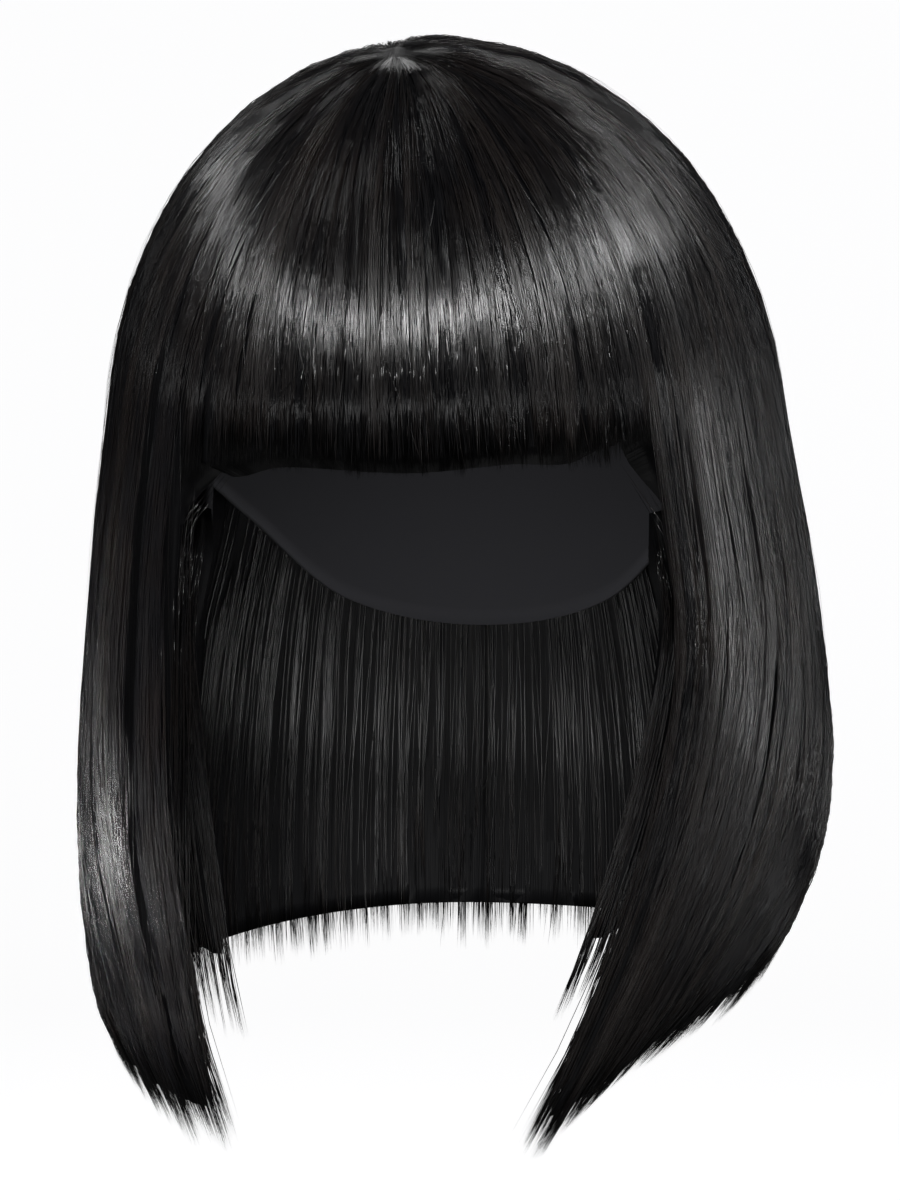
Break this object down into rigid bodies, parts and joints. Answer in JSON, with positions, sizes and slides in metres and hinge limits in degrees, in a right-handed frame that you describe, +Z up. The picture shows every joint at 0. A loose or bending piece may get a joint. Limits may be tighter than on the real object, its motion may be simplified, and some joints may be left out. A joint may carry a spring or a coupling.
{
  "type": "bob wig",
  "caption": "Straight black bob wig with a blunt fringe: a stretch cap under panels of hair that fall from a crown whorl to pointed front lengths.",
  "frame": {"origin": "inside top of the cap, where the crown of the head sits", "axes": "+Z up, -Y out of the face, +X to the wearer's left"},
  "size_m": [0.2301, 0.2198, 0.3287],
  "materials": {
    "hair": "glossy black synthetic fibre, combed straight",
    "cap_net": "matt black stretch net"
  },
  "bodies": {
    "root": {"cap": "cap_net", "whorl": "hair", "fringe": "hair", "side_left": "hair", "side_right": "hair", "back_left": "hair", "back_right": "hair", "inner_left": "hair", "inner_right": "hair"}
  },
  "joints": []
}
